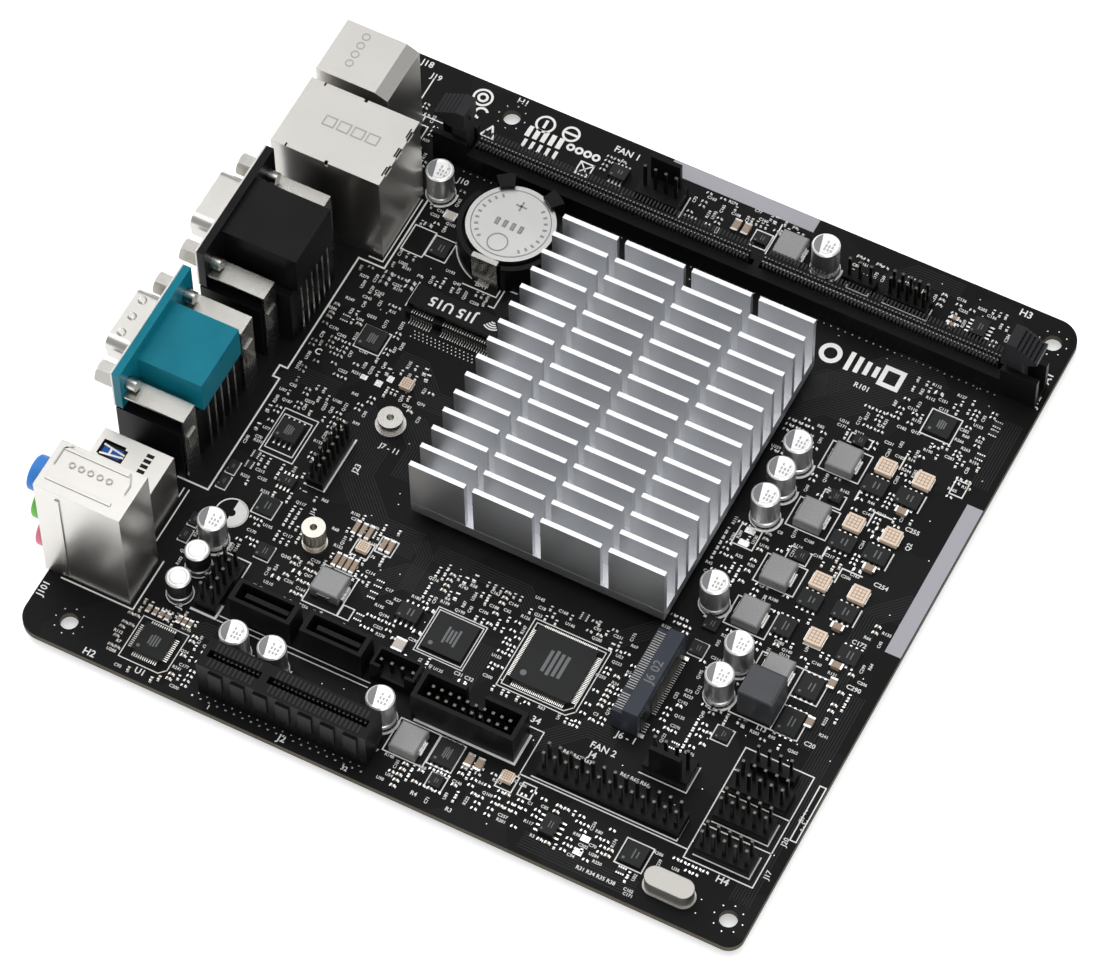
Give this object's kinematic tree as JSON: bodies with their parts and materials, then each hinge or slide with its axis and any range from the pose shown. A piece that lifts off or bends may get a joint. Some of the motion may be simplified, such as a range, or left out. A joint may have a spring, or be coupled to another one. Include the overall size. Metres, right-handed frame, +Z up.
{
  "type": "computer motherboard",
  "caption": "Compact square motherboard with finned passive heatsink, one memory slot, card slots, headers and a row of rear ports",
  "frame": {"origin": "centre of the board's underside", "axes": "+Z up through the components, +Y towards the edge with the rear ports, +X towards the side with the memory slot"},
  "size_m": [0.17, 0.1776, 0.0375],
  "materials": {
    "board_laminate": "matte black solder mask",
    "package_black": "matte moulded epoxy",
    "silicon": "polished",
    "thermal_pad_grey": "matte",
    "anodised_aluminium": "satin anodised",
    "nylon_washer": "satin",
    "black_steel": "black oxide",
    "slot_black": "satin moulded",
    "socket_slate": "satin moulded",
    "gold_contacts": "gold plated",
    "tinned_contacts": "bright tin",
    "brass_standoff": "nickel plated",
    "cell_steel": "satin",
    "nickel_shield": "satin nickel plated",
    "usb_blue": "satin moulded",
    "jack_blue": "satin moulded",
    "jack_green": "satin moulded",
    "jack_pink": "satin moulded",
    "teal_plastic": "satin moulded",
    "capacitor_aluminium": "bright"
  },
  "bodies": {
    "board": {"circuit_board": "board_laminate", "processor_package": "package_black", "chip_packages": "package_black", "power_transistors": "package_black", "large_inductor": "package_black", "power_inductors": "package_black", "processor_die": "silicon", "thermal_pad": "thermal_pad_grey", "heatsink": "anodised_aluminium", "heatsink_spacers": "nylon_washer", "heatsink_screws": "black_steel", "memory_slot_housing": "slot_black", "expansion_slot_housing": "slot_black", "battery_holder": "slot_black", "pin_header_bases": "slot_black", "sata_ports": "slot_black", "usb_header_shroud": "slot_black", "drive_power_header": "slot_black", "fan_headers": "slot_black", "wireless_socket_housing": "slot_black", "power_port_insulator": "slot_black", "network_port_insulator": "slot_black", "usb_port_insulator": "slot_black", "audio_port_insulator": "slot_black", "serial_port_base": "slot_black", "monitor_port_base": "slot_black", "monitor_port_body": "slot_black", "storage_socket_housing": "socket_slate", "memory_slot_contacts": "gold_contacts", "expansion_slot_contacts": "gold_contacts", "pin_header_pins": "gold_contacts", "storage_socket_contacts": "tinned_contacts", "wireless_socket_contacts": "tinned_contacts", "surface_terminals": "tinned_contacts", "serial_port_pins": "tinned_contacts", "monitor_port_pins": "tinned_contacts", "battery_clip": "tinned_contacts", "port_brackets": "tinned_contacts", "power_jack_pin": "tinned_contacts", "storage_standoff": "brass_standoff", "wireless_standoff": "brass_standoff", "power_port_shield": "nickel_shield", "network_port_shield": "nickel_shield", "usb_port_shield": "nickel_shield", "audio_port_shield": "nickel_shield", "serial_port_shell": "nickel_shield", "monitor_port_shell": "nickel_shield", "video_port_inserts": "nickel_shield", "port_jackscrews": "nickel_shield", "crystal_can": "nickel_shield", "usb_port_tongues": "usb_blue", "audio_jack_blue": "jack_blue", "audio_jack_green": "jack_green", "audio_jack_pink": "jack_pink", "serial_port_body": "teal_plastic", "polymer_capacitors": "capacitor_aluminium", "audio_capacitors": "capacitor_aluminium"},
    "rear_latch": {"memory_latch_rear": "slot_black"},
    "front_latch": {"memory_latch_front": "slot_black"},
    "battery": {"coin_cell": "cell_steel"}
  },
  "joints": [
    {"name": "memory_latch_rear_hinge", "type": "hinge", "parent": "board", "child": "rear_latch", "pos_m": [0.06475, 0.0571, 0.005], "axis": [-1, 0, 0], "range_deg": [0, 30]},
    {"name": "memory_latch_front_hinge", "type": "hinge", "parent": "board", "child": "front_latch", "pos_m": [0.06475, -0.078, 0.005], "axis": [1, 0, 0], "range_deg": [0, 30]},
    {"name": "battery_tilt", "type": "hinge", "parent": "board", "child": "battery", "pos_m": [0.058, 0.036, 0.0072], "axis": [0, 1, 0], "range_deg": [0, 8]}
  ]
}
